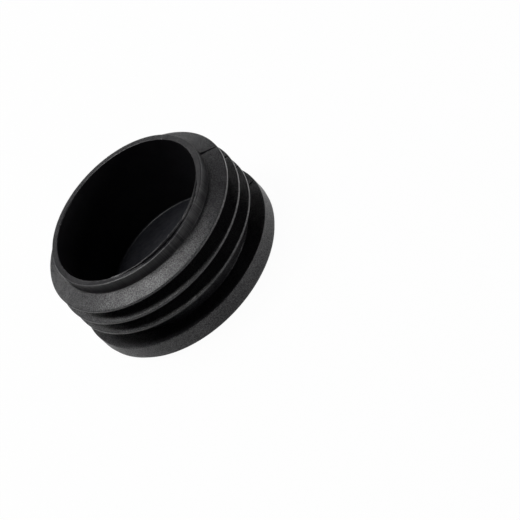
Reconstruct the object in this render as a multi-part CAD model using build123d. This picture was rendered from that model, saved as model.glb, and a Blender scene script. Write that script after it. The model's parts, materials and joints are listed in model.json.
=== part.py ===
from build123d import *
import os
from math import radians, tan

# Push-in end cap for a round tube, injection moulded in one piece.
# Millimetres. The cap stands on its head with the open end up:
# +Z is the cap's axis, and the origin is the middle of the head's outer face.

# Head: the disc that stays outside and covers the cut end of the tube
head_diameter = 50.0  # the same as the tube's outside diameter
head_height = 5.65  # outer face to the seat that meets the tube's end
face_edge_radius = 2.5  # the soft edge round the outer face
seat_edge_radius = 0.15  # the edge that lines up with the tube's outside

# Insert: the hollow core that is driven into the tube
insert_depth = 18.25  # seat to rim
lip_wall = 1.45  # wall of the core at the rim
rim_outer_radius = 0.15  # edge that enters the tube first
rim_inner_radius = 0.2

# Barbs: flexible rings that grip the tube's bore, each with a sloping lead-in face
barb_diameter = 49.2
barb_depth = 4.2  # how far a barb stands out from the core
barb_count = 3
barb_start = 5.2  # seat to the back of the first barb
barb_pitch = 4.05
barb_land = 0.6  # width of the band that touches the bore
barb_slope = 21.2  # degrees, lead-in face to the plane of the seat
entry_barb_relief = 0.35  # the barb nearest the rim is smaller, in radius, to start the cap
barb_root_radius = 0.2
barb_tip_radius = 0.08

# Cavity: the hollow that is open at the rim and closed by the head
face_wall = 3.35  # head's outer face to the cavity floor
cavity_draft = 2.1  # degrees, so that the cap leaves the core pin
floor_radius = 0.4

# Witness: the fine line that the mould's split leaves along one side of the insert
witness_width = 0.3
witness_depth = 0.22
witness_tail = 0.9  # how far it runs on from the last barb towards the rim

head_radius = head_diameter / 2
core_radius = barb_diameter / 2 - barb_depth
rim_height = head_height + insert_depth
mouth_radius = core_radius - lip_wall
cavity_depth = rim_height - face_wall
cavity_floor_radius = mouth_radius - cavity_depth * tan(radians(cavity_draft))


def barb_radius(index):
    """Outer radius of a barb. Barb 0 is next to the head and the last one enters the tube first."""
    relief = entry_barb_relief if index == barb_count - 1 else 0
    return barb_diameter / 2 - relief


def barb_back(index):
    """Height of the flat back of a barb, the side that faces the head."""
    return head_height + barb_start + index * barb_pitch


def barb_root(index):
    """Height at which a barb's lead-in face runs out on the core."""
    rise = (barb_radius(index) - core_radius) * tan(radians(barb_slope))
    return barb_back(index) + barb_land + rise


def head_corners():
    """Corners of the head's section, each as (radius, height, edge radius)."""
    return [
        (head_radius, 0, face_edge_radius),
        (head_radius, head_height, seat_edge_radius),
        (core_radius, head_height, barb_root_radius),
    ]


def barb_corners(index):
    """Corners of one barb: flat back, land and sloping lead-in face."""
    back = barb_back(index)
    radius = barb_radius(index)
    return [
        (core_radius, back, barb_root_radius),
        (radius, back, barb_tip_radius),
        (radius, back + barb_land, barb_tip_radius),
        (core_radius, barb_root(index), barb_root_radius),
    ]


def lip_corners():
    """Corners of the rim's flat face, outside and inside."""
    return [
        (core_radius, rim_height, rim_outer_radius),
        (mouth_radius, rim_height, rim_inner_radius),
    ]


def cap_section():
    """Half of the cap's section, in the XZ plane, with every edge rounded."""
    corners = head_corners()
    for index in range(barb_count):
        corners += barb_corners(index)
    corners += lip_corners()
    corners.append((cavity_floor_radius, face_wall, floor_radius))
    points = [(0, 0)] + [(radius, height) for radius, height, _ in corners] + [(0, face_wall)]
    outline = FilletPolyline(*points, radius=[edge for _, _, edge in corners])
    axis_side = Line(points[-1], points[0])
    return Plane.XZ * make_face(outline + axis_side)


def witness_line(section):
    """A thin blade whose edge follows the outside of the insert, sunk by the witness depth.

    It stays off the backs of the barbs, because the section is sunk down as well as in.
    """
    low = head_height - witness_depth
    high = barb_root(barb_count - 1) + witness_tail
    inner = core_radius - lip_wall / 2
    outer = head_radius + 1
    band = Polyline((inner, low), (outer, low), (outer, high), (inner, high), close=True)
    sunk = Pos(-witness_depth, 0, -witness_depth) * section
    blade = Plane.XZ * make_face(band) - sunk
    return extrude(blade, amount=witness_width / 2, both=True)


def end_cap():
    section = cap_section()
    body = revolve(section, axis=Axis.Z)
    return body - witness_line(section)


os.makedirs("parts", exist_ok=True)
export_step(end_cap(), "parts/end_cap.step")
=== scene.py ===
import json
import math

import bpy
from mathutils import Matrix, Vector, noise


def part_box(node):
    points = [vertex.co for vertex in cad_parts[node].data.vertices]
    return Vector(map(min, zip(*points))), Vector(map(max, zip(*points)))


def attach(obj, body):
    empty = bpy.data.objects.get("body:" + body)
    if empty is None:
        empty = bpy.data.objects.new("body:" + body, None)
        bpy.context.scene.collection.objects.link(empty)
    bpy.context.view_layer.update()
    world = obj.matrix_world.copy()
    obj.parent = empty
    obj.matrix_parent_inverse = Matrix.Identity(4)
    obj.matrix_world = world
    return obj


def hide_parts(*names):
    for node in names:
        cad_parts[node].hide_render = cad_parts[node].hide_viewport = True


# Looks of the push-in tube end cap: black polyethylene, satin, fresh from its mould.
# The CAD node is replaced by a finer turned mesh of the same section, which also carries
# the traces of moulding: flash round the mouth, the mould's witness line and uneven edges.
# Sizes are in millimetres, as in the CAD, and angles in degrees, unless a comment says otherwise.

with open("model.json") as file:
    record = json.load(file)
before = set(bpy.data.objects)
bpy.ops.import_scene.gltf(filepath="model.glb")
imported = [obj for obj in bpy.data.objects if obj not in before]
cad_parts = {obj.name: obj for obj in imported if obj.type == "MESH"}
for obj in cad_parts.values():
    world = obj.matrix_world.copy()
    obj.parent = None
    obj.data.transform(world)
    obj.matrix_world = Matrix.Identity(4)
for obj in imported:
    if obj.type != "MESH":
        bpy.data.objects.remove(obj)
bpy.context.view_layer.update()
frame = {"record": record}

MM = 0.001
NODE = "end_cap"

# Sizes that the frame gives
high_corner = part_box(NODE)[1]
mounts = {mount["name"]: mount for mount in frame["record"]["mounts"]}
head_radius = high_corner.x / MM
rim_height = high_corner.z / MM
head_height = mounts["tube_seat"]["pos_m"][2] / MM
barb_radius = mounts["tube_grip"]["dims"]["r_mm"]

# Section of the cap, as in the CAD
face_edge_radius = 2.5
seat_edge_radius = 0.15
lip_wall = 1.45
rim_inner_radius = 0.2
barb_depth = 4.2
barb_count = 3
barb_start = 5.2
barb_pitch = 4.05
barb_land = 0.6
barb_slope = 21.2  # degrees
entry_barb_relief = 0.35
barb_root_radius = 0.2
barb_tip_radius = 0.08
face_wall = 3.35
cavity_draft = 2.1  # degrees
floor_radius = 0.4

core_radius = barb_radius - barb_depth
mouth_radius = core_radius - lip_wall
cavity_depth = rim_height - face_wall
cavity_floor_radius = mouth_radius - cavity_depth * math.tan(math.radians(cavity_draft))

# The rim's worn face
rim_bevel = 0.2  # width of the worn edge outside the face
rim_bevel_fall = 0.075
rim_bevel_foot_radius = 0.04
rim_bevel_top_radius = 0.1
rim_face_shares = (0.3, 0.65, 1.0)  # where its rings lie, from the bevel to the mouth's edge
rim_unevenness = 0.02
rim_waves = 40.0  # radius of the circle on which its noise is read, as the other waves below
rim_sink_outside = 0.4  # share of the sink beside the flash that is left at the bevel

# Flash: the burr that stands on the mouth's edge, as (degrees round the axis, height, width of
# its top, how far the rim's face is sunk at its foot)
FLASH_STATIONS = (
    (0.0, 0.0, 0.15, 0.0),
    (231.0, 0.0, 0.15, 0.0),
    (237.0, 0.09, 0.3, 0.03),
    (241.0, 0.03, 0.2, 0.06),
    (246.0, 0.08, 0.15, 0.2),
    (250.0, 0.09, 0.15, 0.28),
    (256.0, 0.11, 0.16, 0.3),
    (260.0, 0.24, 0.17, 0.36),
    (268.0, 0.22, 0.17, 0.37),
    (274.0, 0.3, 0.17, 0.39),
    (280.0, 0.3, 0.17, 0.45),
    (283.0, 0.36, 0.25, 0.44),
    (287.0, 0.26, 0.28, 0.36),
    (293.0, 0.2, 0.34, 0.33),
    (298.0, 0.06, 0.5, 0.28),
    (307.0, 0.05, 0.52, 0.28),
    (312.0, 0.03, 0.5, 0.18),
    (323.0, 0.03, 0.3, 0.12),
    (331.0, 0.0, 0.15, 0.0),
    (360.0, 0.0, 0.15, 0.0),
)
FLASH_TEARS = ((264.0, 0.2), (281.3, 0.45))  # place, share torn off
tear_width = 0.7  # degrees
flash_onset = 0.03  # height by which the rim has taken the flash's section
flash_crown = 0.36  # fall of the top outwards, as a share of its width
flash_lean = 0.22  # run of the outer wall, as a share of its height
flash_crowding = 0.9  # how closely the rim's face follows the foot of the flash
flash_raggedness = 0.15  # share of its height
flash_ragged_waves = 14.0
flash_slow_drift = 0.02
flash_slow_waves = 9.0
flash_quick_drift = 0.01
flash_quick_waves = 30.0

# Section of the flash from its outer foot over the top to the mouth, as shares of its width
# outwards from the mouth and of its height
FLASH_SECTION = (
    (1.0, 0.0),
    (1.0, 0.1),
    (1.0, 0.75),
    (1.0, 0.93),
    (0.9, 1.0),
    (0.5, 1.0),
    (0.12, 1.0),
    (0.03, 0.9),
    (0.0, 0.0),
)

# Chips in the mouth's edge, as (degrees round the axis, depth)
MOUTH_CHIPS = ((33.5, 0.1), (138.0, 0.05), (182.8, 0.14), (191.0, 0.05), (209.0, 0.07), (222.0, 0.05))
chip_width = 0.8  # degrees
chip_fall = 0.7  # how far a chip sinks the edge, as a share of its depth

# Witness line of the mould's split, at angle 0
witness_width = 0.5
witness_depth = 0.5
witness_flare = 0.55  # how much wider it is on the core, at the foot of a barb
witness_flare_reach = 2.0  # from the core outwards
witness_tail = 0.9  # how far it runs on from the last barb towards the rim
witness_fade = 0.4  # length over which it closes towards a barb's tip
witness_bare_tip = 0.6  # how far from the tip it has closed, in such lengths
witness_on_seat = 0.4  # share of its depth on the head's seat
witness_on_core = 0.4  # it is whole and widest within this of the core
touch = 0.01  # heights and radii this close count as the same

# Camera
camera_place = (46.19, -451.59, 342.58)
camera_heading = 94.2  # degrees round the axis, from +X
camera_dip = 38.09  # degrees below the horizon
camera_roll = -45.22
camera_reach = 2500 / 520  # focal length over the width of the picture
camera_sensor = 36.0  # width
camera_clip = (0.01, 20.0)  # metres

# Studio floor
WHITE = (1, 1, 1, 1)
paper_tone = (0.9, 0.9, 0.9, 1)
floor_half = 3.0  # metres, from its middle to a side
floor_lift = 0.97  # share of plain white in what the camera sees of it

# How bright the floor glows in the plastic's reflection, a painted reflection that fades across the cap to
# one side
floor_in_gloss = 0.52
gloss_side = 15.0  # degrees round the axis, where it is bright
gloss_fade = 80.0  # length of the fade

# Soft boxes, as (name, degrees round the axis, degrees above the floor, watts)
lamp_distance = 0.6  # metres
lamp_size = 0.17  # metres
LAMPS = (
    ("overhead_left", 146.0, 64.0, 1.10),
    ("overhead_front", 199.0, 77.0, 0.89),
    ("overhead_back", 78.0, 71.0, 0.40),
    ("overhead", 130.0, 82.0, 0.3),
    ("side_right", 327.0, 6.0, 0.68),
    ("back_left", 125.0, 17.0, 0.24),
    ("left", 132.0, 47.0, 0.24),
    ("back_low", 72.0, 13.0, 0.10),
    ("back", 92.0, 23.0, 0.15),
    ("back_right", 60.0, 30.0, 0.07),
)

# How fine the mesh is
column_count = 440
fine_columns = (230.0, 330.0)  # degrees between which there are twice as many
longest_step = 0.6  # between two rings along the insert
longest_plain_step = 4.0  # on the head's face and in the cavity
arc_step = 22.0  # degrees
GROOVE_COLUMNS = (-2.0, -0.52, -0.5, -0.47, -0.3, 0.3, 0.47, 0.5, 0.52, 2.0)  # in witness widths
groove_clearance = 2.4  # witness widths that stay free of other columns on each side
groove_sharpness = 12  # how squarely the groove's floor meets its sides
mouth_edge_fall = 0.3  # from the rim to the cavity's first ring
mouth_edge_draft = 0.01

# Plastic: tones, as linear colours, and refraction
dark_tone = (0.0104, 0.0098, 0.0118, 1)
pale_tone = (0.0146, 0.0138, 0.0160, 1)
floor_tone = (0.0128, 0.0134, 0.0176, 1)  # of the cavity's floor
plastic_ior = 1.51

# Plastic: scales of the noises, as features in a millimetre
grain_scale = 4.2
pit_scale = 4.3
mark_scale = 4.2
blotch_scale = 1.1
blotch_stretch = (0.6, 1.0, 1.0)
wear_scale = 0.35
patch_scale = 0.22

# Plastic: the span that is taken from a noise, which lies about 0.5. A narrow one is harder.
soft_contrast = (0.2, 0.8)
contrast = (0.3, 0.7)
hard_contrast = (0.35, 0.65)
streak_contrast = (0.36, 0.64)

# Plastic: where the finish changes, as (from, to) above a height or outside a radius
lip_border = (-0.1, 0.2)  # of the lip's foot
mouth_border = (0.1, -0.1)  # of the mouth's radius
cavity_border = (-0.3, -0.1)  # of the cavity's floor, where the zone of the cavity begins
floor_border = (0.6, 0.3)  # of the cavity's floor, where the zone of its wall ends
rim_border = (-0.16, -0.04)  # of the rim's height

# Plastic: relief
grain_depth = 0.05
drawn_grain_depth = 0.016
mark_depth = 0.03
least_marks = 0.4  # share of that depth where the marks are faintest

# Plastic: roughness
pit_roughness = 0.47
land_roughness = 0.32  # between the pits
drawn_roughness = 0.36
floor_roughness = 0.42
patch_roughness = 0.03  # up and down from these

# Plastic: sheen, the specular level, as a value or as (least, most) in a pattern
grain_sheen = (0.18, 0.84)
lip_sheen = 0.33
streak_sheen = (0.17, 0.48)
streak_fade = (-3.0, 5.0)  # the streaks grow from the one to the other place across the cap
least_streaks = 0.4  # share of them on the plainer side
cavity_wall_sheen = 0.26
rim_sheen = (0.34, 0.66)
floor_sheen = (0.24, 0.58)
# Painted shade and highlight on the lip's sheen: darker at its foot, brighter near its top
lip_painted_shade = (0.78, 1.16)  # factor at the lip's foot and near its top
lip_painted_shade_end = 0.4  # below the rim
wear = (0.9, 1.1)  # factor, in a pattern
# Painted shade beside the witness line, which darkens the sheen in and along its groove
line_painted_shade = 0.2  # factor beside the witness line
line_painted_shade_widths = (0.12, 0.3)  # from the line's middle, where the shade begins to end and ends
line_painted_shade_flare = 2.3  # widening of the shade on the core
line_flare_border = (0.1, 1.9)  # outside the core, where the widening ends
line_side_border = (0.0, -1.0)  # outside the core, where the shade ends towards the axis
line_head_border = (0.05, -0.05)  # above the head, where the shade ends downwards


class Ring:
    """One turn of the surface.

    burr is where the ring goes when flash stands on the mouth's edge, as shares of the flash's
    width, outwards from the mouth, and of its height. mark is the share of the witness
    line's depth that cuts the ring, and flare how much wider than elsewhere it is, 0 to 1.
    """

    def __init__(self, radius, height, burr=None):
        self.radius = radius
        self.height = height
        self.burr = burr
        self.mark = 0.0
        self.flare = 0.0


def barb_back(index):
    return head_height + barb_start + index * barb_pitch


def barb_outer(index):
    return barb_radius - (entry_barb_relief if index == barb_count - 1 else 0)


def barb_root(index):
    rise = (barb_outer(index) - core_radius) * math.tan(math.radians(barb_slope))
    return barb_back(index) + barb_land + rise


lip_foot = barb_root(barb_count - 1)


def outside_corners():
    """Corners from the middle of the outer face to the rim, each as (radius, height, edge radius)."""
    corners = [
        (0, 0, 0),
        (head_radius, 0, face_edge_radius),
        (head_radius, head_height, seat_edge_radius),
        (core_radius, head_height, barb_root_radius),
    ]
    for index in range(barb_count):
        back, radius = barb_back(index), barb_outer(index)
        corners += [
            (core_radius, back, barb_root_radius),
            (radius, back, barb_tip_radius),
            (radius, back + barb_land, barb_tip_radius),
            (core_radius, barb_root(index), barb_root_radius),
        ]
    bevel_top = core_radius - rim_bevel
    corners.append((core_radius, rim_height - rim_bevel_fall, rim_bevel_foot_radius))
    corners.append((bevel_top, rim_height, rim_bevel_top_radius))
    face_width = bevel_top - mouth_radius - rim_inner_radius
    corners += [(bevel_top - face_width * share, rim_height, 0) for share in rim_face_shares]
    return corners


def inside_corners():
    """Corners from under the mouth's edge down to the middle of the cavity's floor."""
    return [
        (mouth_radius - mouth_edge_draft, rim_height - mouth_edge_fall, 0),
        (cavity_floor_radius, face_wall, floor_radius),
        (0, face_wall, 0),
    ]


def rounded(corners):
    """The outline through the corners, with arcs for the edge radii and no step that is too long."""
    outline = []
    for index, (radius, height, edge) in enumerate(corners):
        here = Vector((radius, height))
        if not edge:
            outline.append(here)
            continue
        before = (Vector(corners[index - 1][:2]) - here).normalized()
        after = (Vector(corners[index + 1][:2]) - here).normalized()
        half = before.angle(after) / 2
        centre = here + (before + after).normalized() * (edge / math.sin(half))
        first = here + before * (edge / math.tan(half)) - centre
        last = here + after * (edge / math.tan(half)) - centre
        turn = math.atan2(first.x * last.y - first.y * last.x, first.dot(last))
        steps = max(2, round(math.degrees(abs(turn)) / arc_step))
        for step in range(steps + 1):
            outline.append(centre + Matrix.Rotation(turn * step / steps, 2) @ first)
    points = [outline[0]]
    for start, end in zip(outline, outline[1:]):
        plain = min(start.y, end.y) < head_height / 2 or max(start.x, end.x) < mouth_radius
        step = longest_plain_step if plain else longest_step
        pieces = max(1, math.ceil((end - start).length / step))
        points += [start.lerp(end, piece / pieces) for piece in range(1, pieces + 1)]
    return points


def mouth_rings():
    """The mouth's rounded edge, each ring with the place it takes where flash stands on it."""
    bend = rim_inner_radius
    centre = Vector((mouth_radius + bend, rim_height - bend))
    rings = []
    for index, burr in enumerate(FLASH_SECTION):
        angle = math.pi / 2 * (index + 0.5) / len(FLASH_SECTION)
        point = centre + Vector((-math.sin(angle), math.cos(angle))) * bend
        rings.append(Ring(point.x, point.y, burr))
    return rings


def witness_shares(ring):
    """How much of its depth the witness line has on a ring of the outside, and how flared it is."""
    if ring.height > lip_foot:
        share = max(0.0, 1 - (ring.height - lip_foot) / witness_tail)
        return share ** 0.5, share
    if ring.height < head_height + touch:
        return (witness_on_seat if ring.radius < head_radius - seat_edge_radius else 0.0), 0.0
    below = [index for index in range(barb_count) if ring.height >= barb_back(index) - touch]
    if not below:
        return 1.0, 1.0
    to_tip = barb_outer(below[-1]) - ring.radius
    if to_tip > barb_depth - witness_on_core:
        return 1.0, 1.0
    share = min(1.0, max(0.0, to_tip / witness_fade - witness_bare_tip))
    return share, max(0.0, 1 - (barb_depth - to_tip) / witness_flare_reach)


def section_rings():
    """All the rings of the cap, from the middle of its outer face to the middle of the cavity's floor."""
    outside = [Ring(*point) for point in rounded(outside_corners())]
    for ring in outside:
        if ring.radius > core_radius - touch and ring.height > head_height - seat_edge_radius:
            ring.mark, ring.flare = witness_shares(ring)
    inside = [Ring(*point) for point in rounded(inside_corners())]
    return outside + mouth_rings() + inside


def round_axis(angle, size):
    """A place on a circle of that size, for noise without a seam. A larger circle has quicker waves."""
    return Vector((math.cos(angle) * size, math.sin(angle) * size, 0))


def smooth(low, high, value):
    """0 at low, 1 at high, held beyond them and smooth between."""
    share = min(max((value - low) / (high - low), 0.0), 1.0)
    return share * share * (3 - 2 * share)


def flash(angle):
    """Height of the flash above the rim, its width and the sink beside it, at an angle in radians."""
    degrees = math.degrees(angle) % 360
    for (start, *before), (end, *after) in zip(FLASH_STATIONS, FLASH_STATIONS[1:]):
        if start <= degrees <= end:
            share = smooth(start, end, degrees)
            height, width, sink = (low + (high - low) * share for low, high in zip(before, after))
    ragged = noise.fractal(round_axis(angle, flash_ragged_waves), 1.0, 2.0, 3)
    torn = sum(share * math.exp(-(((degrees - place) / tear_width) ** 2)) for place, share in FLASH_TEARS)
    height += flash_raggedness * height * ragged
    return max(height * (1 - torn), 0), width, sink


def chip(angle):
    """Depth of the chips in the mouth's edge at an angle, in radians."""
    degrees = math.degrees(angle) % 360
    return sum(depth * math.exp(-(((degrees - place) / chip_width) ** 2)) for place, depth in MOUTH_CHIPS)


def flash_drift(angle):
    """How far the flash's edge wanders outwards at an angle, in radians."""
    # Read in two places of the noise that have nothing in common
    slow = noise.noise(round_axis(angle, flash_slow_waves) + Vector((3, 1, 0)))
    quick = noise.noise(round_axis(angle, flash_quick_waves) + Vector((7, 5, 0)))
    return flash_slow_drift * slow + flash_quick_drift * quick


def columns():
    """The places round the axis, each as (angle in radians, offset along the surface)."""
    groove = [share * witness_width for share in GROOVE_COLUMNS]
    gap = witness_width * groove_clearance / core_radius
    low, high = (math.radians(edge) for edge in fine_columns)
    plain = []
    for index in range(column_count):
        turn = math.tau * index / column_count
        if gap < turn < math.tau - gap:
            plain.append((turn, 0.0))
        if low < turn < high:
            plain.append((turn + math.pi / column_count, 0.0))
    return [(0.0, offset) for offset in groove] + plain


def rim_point(ring, angle):
    """Radius and height of a point of the rim, with the flash, the sink beside it and the chips."""
    radius, height = ring.radius, ring.height
    tall, width, sink = flash(angle)
    raised = smooth(0.0, flash_onset, tall)
    foot = mouth_radius + width + flash_lean * (tall + sink)
    if ring.burr:
        across, up = ring.burr
        top = tall - min(flash_crown * width * across, 2 * tall)
        place = mouth_radius + width * across + (foot - mouth_radius - width) * across * (1 - up)
        radius += raised * (place + flash_drift(angle) * up - radius)
        height += raised * (rim_height + top * up - sink * across * (1 - up) - height)
        radius += chip(angle) * (1 - across)
        height -= chip(angle) * chip_fall
        return radius, height
    inwards = max(0.0, (core_radius - rim_bevel - radius) / (lip_wall - rim_bevel - rim_inner_radius))
    radius += raised * inwards * (foot - mouth_radius - rim_inner_radius) * flash_crowding
    height -= sink * (rim_sink_outside + (1 - rim_sink_outside) * inwards)
    height += rim_unevenness * noise.noise(round_axis(angle, rim_waves))
    return radius, height


def surface_point(ring, normal, angle, offset):
    """A vertex of a ring, in millimetres. normal points out of the section."""
    radius, height = ring.radius, ring.height
    if height > rim_height - rim_inner_radius and radius > mouth_radius:
        radius, height = rim_point(ring, angle)
    if ring.mark and angle == 0.0:
        across = abs(offset) / (witness_width / 2)
        depth = witness_depth * ring.mark * max(0.0, 1 - across**groove_sharpness)
        radius -= normal.x * depth
        height -= normal.y * depth
        if across < 1.1:  # the groove's own columns, not those that close it off at the sides
            offset *= 1 + witness_flare / witness_width * ring.flare
    turn = angle + offset / max(radius, mouth_radius)
    return Vector((radius * math.cos(turn), radius * math.sin(turn), height))


def turned_mesh(name):
    """The whole cap as one closed mesh of rings, with a pole in the middle of each end."""
    rings = section_rings()
    places = columns()
    count = len(places)
    vertices = [Vector((0, 0, rings[0].height))]
    for index in range(1, len(rings) - 1):
        before, after = rings[index - 1], rings[index + 1]
        along = Vector((after.radius - before.radius, after.height - before.height)).normalized()
        normal = Vector((along.y, -along.x))
        vertices += [surface_point(rings[index], normal, angle, offset) for angle, offset in places]
    vertices.append(Vector((0, 0, rings[-1].height)))
    last = len(vertices) - 1
    faces = []
    for column in range(count):
        beside = (column + 1) % count
        faces.append((0, 1 + beside, 1 + column))
        faces.append((last - count + column, last - count + beside, last))
        for ring in range(len(rings) - 3):
            low, high = 1 + ring * count, 1 + (ring + 1) * count
            faces.append((low + column, low + beside, high + beside, high + column))
    mesh = bpy.data.meshes.new(name)
    mesh.from_pydata([vertex * MM for vertex in vertices], [], faces)
    mesh.validate()
    mesh.shade_smooth()
    return mesh


class Shader:
    """A material's node tree, with short calls to add nodes and join them."""

    def __init__(self, name):
        self.material = bpy.data.materials.new(name)
        self.material.use_nodes = True
        self.tree = self.material.node_tree
        self.tree.nodes.clear()

    def add(self, kind, inputs=(), **settings):
        """A node. inputs gives values or other nodes' sockets by input name or number."""
        node = self.tree.nodes.new(kind)
        for key, value in settings.items():
            setattr(node, key, value)
        for key, value in dict(inputs).items():
            if isinstance(value, bpy.types.NodeSocket):
                self.tree.links.new(value, node.inputs[key])
            else:
                node.inputs[key].default_value = value
        return node

    def math(self, operation, *values):
        return self.add("ShaderNodeMath", enumerate(values), operation=operation).outputs[0]

    def span(self, value, low, high, to_low=0.0, to_high=1.0):
        """value from low..high to to_low..to_high, smooth and held at both ends."""
        inputs = {"Value": value, "From Min": low, "From Max": high, "To Min": to_low, "To Max": to_high}
        node = self.add("ShaderNodeMapRange", inputs, interpolation_type="SMOOTHSTEP")
        return node.outputs["Result"]

    def border(self, value, place, spread):
        """0 to 1 where value goes from the one to the other end of a spread about a place."""
        return self.span(value, place + spread[0], place + spread[1])

    def mix(self, share, none, full):
        """none where share is 0 and full where it is 1."""
        return self.add("ShaderNodeMix", {0: share, 2: none, 3: full}, data_type="FLOAT").outputs[0]

    def mix_colours(self, share, none, full):
        return self.add("ShaderNodeMix", {0: share, 6: none, 7: full}, data_type="RGBA").outputs[2]

    def vector(self, operation, *values):
        return self.add("ShaderNodeVectorMath", enumerate(values), operation=operation).outputs[0]

    def scaled(self, vector, factor):
        return self.add("ShaderNodeVectorMath", {0: vector, 3: factor}, operation="SCALE").outputs[0]

    def noise(self, vector, scale, detail=2.0, roughness=0.5):
        inputs = {"Vector": vector, "Scale": scale, "Detail": detail, "Roughness": roughness}
        return self.add("ShaderNodeTexNoise", inputs, noise_dimensions="3D").outputs["Fac"]


class Place:
    """Where a point of the cap lies, in millimetres, and how far it is in each zone of the finish.

    The lip and the cavity were drawn along polished steel, and the rest has a spark-eroded grain.
    floor_level is 1 from the cavity's floor downwards, inside and outside.
    """

    def __init__(self, shader):
        self.point = shader.scaled(shader.add("ShaderNodeTexCoord").outputs["Object"], 1 / MM)
        self.across, self.deep, self.height = shader.add("ShaderNodeSeparateXYZ", {0: self.point}).outputs
        flat = shader.add("ShaderNodeCombineXYZ", {0: self.across, 1: self.deep}).outputs[0]
        self.around = shader.scaled(shader.vector("NORMALIZE", flat), core_radius)
        radius = shader.add("ShaderNodeVectorMath", {0: flat}, operation="LENGTH").outputs["Value"]

        lip = shader.border(self.height, lip_foot, lip_border)
        within_mouth = shader.border(radius, mouth_radius, mouth_border)
        above_floor = shader.border(self.height, face_wall, cavity_border)
        self.in_cavity = shader.math("MULTIPLY", within_mouth, above_floor)
        self.drawn = shader.math("MAXIMUM", lip, self.in_cavity)
        self.floor_level = shader.border(self.height, face_wall, floor_border)
        self.on_floor = shader.math("MULTIPLY", self.floor_level, self.in_cavity)
        self.on_drawn_wall = shader.mix(self.floor_level, self.drawn, 0.0)
        self.on_rim = shader.border(self.height, rim_height, rim_border)


class Patterns:
    """The noises that tone, roughness, sheen and relief share."""

    def __init__(self, shader, place):
        stretched = shader.vector("MULTIPLY", place.point, blotch_stretch)
        self.grain = shader.noise(place.point, grain_scale, detail=3.0, roughness=0.7)
        self.pits = shader.noise(place.point, pit_scale, detail=1.0, roughness=0.6)
        self.marks = shader.noise(place.around, mark_scale, detail=2.0, roughness=0.6)
        self.blotches = shader.noise(stretched, blotch_scale, detail=5.0, roughness=0.72)
        self.wear = shader.noise(place.point, wear_scale, detail=3.0, roughness=0.55)
        self.patches = shader.noise(place.point, patch_scale, detail=2.0)


def plastic_normal(shader, place, patterns):
    """Grain, and draw marks that run up the lip and the cavity's wall."""
    depth = shader.span(place.drawn, 0.0, 1.0, grain_depth, drawn_grain_depth)
    grain = shader.math("MULTIPLY", patterns.grain, depth)
    depth = shader.span(place.on_drawn_wall, 0.0, 1.0, 0.0, mark_depth)
    clear = shader.span(patterns.patches, *hard_contrast, least_marks, 1.0)
    depth = shader.math("MULTIPLY", depth, clear)
    marks = shader.math("MULTIPLY", patterns.marks, depth)
    relief = {"Height": shader.math("ADD", grain, marks), "Distance": MM, "Strength": 1.0}
    return shader.add("ShaderNodeBump", relief).outputs["Normal"]


def plastic_tone(shader, place, patterns):
    """Near black, which wanders a little over the moulding and is bluer on the cavity's floor."""
    tone = shader.mix_colours(shader.span(patterns.patches, *contrast), dark_tone, pale_tone)
    return shader.mix_colours(place.on_floor, tone, floor_tone)


def plastic_roughness(shader, place, patterns):
    """Duller in the grain's pits."""
    grained = shader.span(patterns.pits, *contrast, pit_roughness, land_roughness)
    drawn = shader.mix(place.floor_level, drawn_roughness, floor_roughness)
    wander = shader.span(patterns.patches, *soft_contrast, -patch_roughness, patch_roughness)
    return shader.math("ADD", shader.mix(place.drawn, grained, drawn), wander)


def drawn_sheen(shader, place, patterns):
    """Sheen of the lip, streaked on one side, of the rim's face and of the cavity, with painted shade low
    down and a painted highlight near the rim.
    """
    marked_side = shader.span(place.across, *streak_fade, least_streaks, 1.0)
    streaks = shader.span(patterns.marks, *streak_contrast, *streak_sheen)
    wall = shader.mix(place.in_cavity, shader.mix(marked_side, lip_sheen, streaks), cavity_wall_sheen)
    # Painted shade: the sheen is darker towards the lip's foot and below it; a painted highlight makes it
    # brighter towards the rim
    shade = shader.span(place.height, lip_foot, rim_height - lip_painted_shade_end, *lip_painted_shade)
    wall = shader.math("MULTIPLY", wall, shade)
    wall = shader.mix(place.on_rim, wall, shader.span(patterns.pits, *contrast, *rim_sheen))
    return shader.mix(place.floor_level, wall, shader.span(patterns.blotches, *contrast, *floor_sheen))


def off_witness_line(shader, place):
    """Mask of the painted shade along the witness line: 0 beside the line and 1 away from it, in the cavity,
    on the head and up the lip.
    """
    flare_start, flare_end = (core_radius + spread for spread in line_flare_border)
    widening = shader.span(place.across, flare_start, flare_end, line_painted_shade_flare, 1.0)
    sideways = shader.math("DIVIDE", shader.math("ABSOLUTE", place.deep), widening)
    off = shader.span(sideways, *line_painted_shade_widths)
    off = shader.math("MAXIMUM", off, shader.border(place.across, core_radius, line_side_border))
    off = shader.math("MAXIMUM", off, shader.border(place.height, head_height, line_head_border))
    return shader.math("MAXIMUM", off, shader.border(place.height, lip_foot, (0.0, witness_tail)))


def plastic_sheen(shader, place, patterns):
    """Dull in the grain's pits, with painted shade beside the witness line, and worn here and there."""
    grained = shader.span(patterns.pits, *contrast, *grain_sheen)
    sheen = shader.mix(place.drawn, grained, drawn_sheen(shader, place, patterns))
    sheen = shader.math("MULTIPLY", sheen, shader.span(patterns.wear, *hard_contrast, *wear))
    # Painted shade on the sheen beside the witness line
    return shader.math("MULTIPLY", sheen, shader.mix(off_witness_line(shader, place), line_painted_shade, 1.0))


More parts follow.
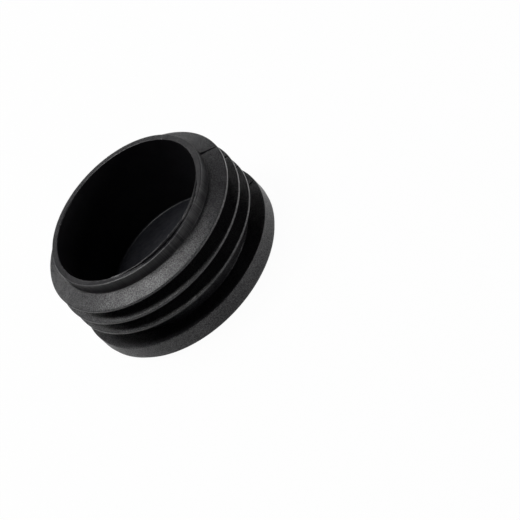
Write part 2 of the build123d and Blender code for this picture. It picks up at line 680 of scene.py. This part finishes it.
def moulded_plastic():
    """Satin black polyethylene."""
    shader = Shader("black_polyethylene")
    place = Place(shader)
    patterns = Patterns(shader, place)
    surface = shader.add("ShaderNodeBsdfPrincipled", {
        "Base Color": plastic_tone(shader, place, patterns),
        "Roughness": plastic_roughness(shader, place, patterns),
        "IOR": plastic_ior,
        "Specular IOR Level": plastic_sheen(shader, place, patterns),
        "Normal": plastic_normal(shader, place, patterns),
    })
    shader.add("ShaderNodeOutputMaterial", {"Surface": surface.outputs[0]})
    return shader.material


def add_cap():
    """The finer cap, which stands for the CAD node."""
    cap = bpy.data.objects.new("cap_moulding", turned_mesh("cap_moulding"))
    bpy.context.scene.collection.objects.link(cap)
    cap.data.materials.append(moulded_plastic())
    cap.modifiers.new("flat_faces_stay_flat", "WEIGHTED_NORMAL").keep_sharp = True
    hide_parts(NODE)
    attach(cap, "root")


def floor_material():
    """White paper. What the camera sees of it is lifted to white, and the shadow stays. In the plastic's
    reflection it has a painted glow, brighter to one side.
    """
    shader = Shader("white_paper")
    paper = shader.add("ShaderNodeBsdfDiffuse", {"Color": paper_tone})
    place = shader.add("ShaderNodeTexCoord").outputs["Object"]
    side = (math.cos(math.radians(gloss_side)), math.sin(math.radians(gloss_side)), 0)
    along = shader.add("ShaderNodeVectorMath", {0: place, 1: side}, operation="DOT_PRODUCT").outputs["Value"]
    fade = shader.span(along, -gloss_fade / 2 * MM, gloss_fade / 2 * MM, 0.0, floor_in_gloss)
    path = shader.add("ShaderNodeLightPath").outputs
    # Painted reflection: a glow seen only in reflections, fading across the cap to one side
    glow = shader.math("MULTIPLY", path["Is Glossy Ray"], fade)
    painted_reflection = shader.add("ShaderNodeEmission", {"Color": WHITE, "Strength": glow})
    lit = shader.add("ShaderNodeAddShader", {0: paper.outputs[0], 1: painted_reflection.outputs[0]})
    white = shader.add("ShaderNodeEmission", {"Color": WHITE, "Strength": 1.0})
    lift = shader.math("MULTIPLY", path["Is Camera Ray"], floor_lift)
    lifted = shader.add("ShaderNodeMixShader", {0: lift, 1: lit.outputs[0], 2: white.outputs[0]})
    shader.add("ShaderNodeOutputMaterial", {"Surface": lifted.outputs[0]})
    return shader.material


def add_floor():
    """A wide sheet that the cap stands on."""
    mesh = bpy.data.meshes.new("floor")
    half = floor_half
    corners = [(-half, -half, 0), (half, -half, 0), (half, half, 0), (-half, half, 0)]
    mesh.from_pydata(corners, [], [(0, 1, 2, 3)])
    floor = bpy.data.objects.new("floor", mesh)
    bpy.context.scene.collection.objects.link(floor)
    mesh.materials.append(floor_material())


def add_camera():
    """The camera looks down into the mouth and is rolled, so that the cap lies aslant in the picture."""
    data = bpy.data.cameras.new("camera")
    data.sensor_width = camera_sensor
    data.lens = camera_sensor * camera_reach
    data.clip_start, data.clip_end = camera_clip
    camera = bpy.data.objects.new("camera", data)
    bpy.context.scene.collection.objects.link(camera)
    heading = Matrix.Rotation(math.radians(camera_heading - 90), 4, "Z")
    dip = Matrix.Rotation(math.radians(90 - camera_dip), 4, "X")
    roll = Matrix.Rotation(math.radians(camera_roll), 4, "Z")
    camera.matrix_world = Matrix.Translation(Vector(camera_place) * MM) @ heading @ dip @ roll
    bpy.context.scene.camera = camera


def add_world():
    """A black room: all the light comes from the lamps."""
    world = bpy.data.worlds.new("studio")
    bpy.context.scene.world = world
    world.use_nodes = True
    tree = world.node_tree
    tree.nodes.clear()
    glow = tree.nodes.new("ShaderNodeBackground")
    glow.inputs["Color"].default_value = WHITE
    glow.inputs["Strength"].default_value = 0.0
    out = tree.nodes.new("ShaderNodeOutputWorld")
    tree.links.new(glow.outputs[0], out.inputs[0])


def add_lamps():
    """Round soft boxes on a dome about the cap."""
    middle = Vector((0, 0, rim_height / 2 * MM))
    for name, turn, rise, power in LAMPS:
        data = bpy.data.lights.new(name, "AREA")
        data.shape = "DISK"
        data.size = lamp_size
        data.energy = power
        lamp = bpy.data.objects.new(name, data)
        bpy.context.scene.collection.objects.link(lamp)
        turn, rise = math.radians(turn), math.radians(rise)
        towards = Vector((math.cos(rise) * math.cos(turn), math.cos(rise) * math.sin(turn), math.sin(rise)))
        lamp.location = middle + towards * lamp_distance
        lamp.rotation_euler = towards.to_track_quat("Z", "Y").to_euler()


def main():
    add_cap()
    add_floor()
    add_camera()
    add_world()
    add_lamps()
    bpy.context.scene.view_settings.view_transform = "Standard"


main()
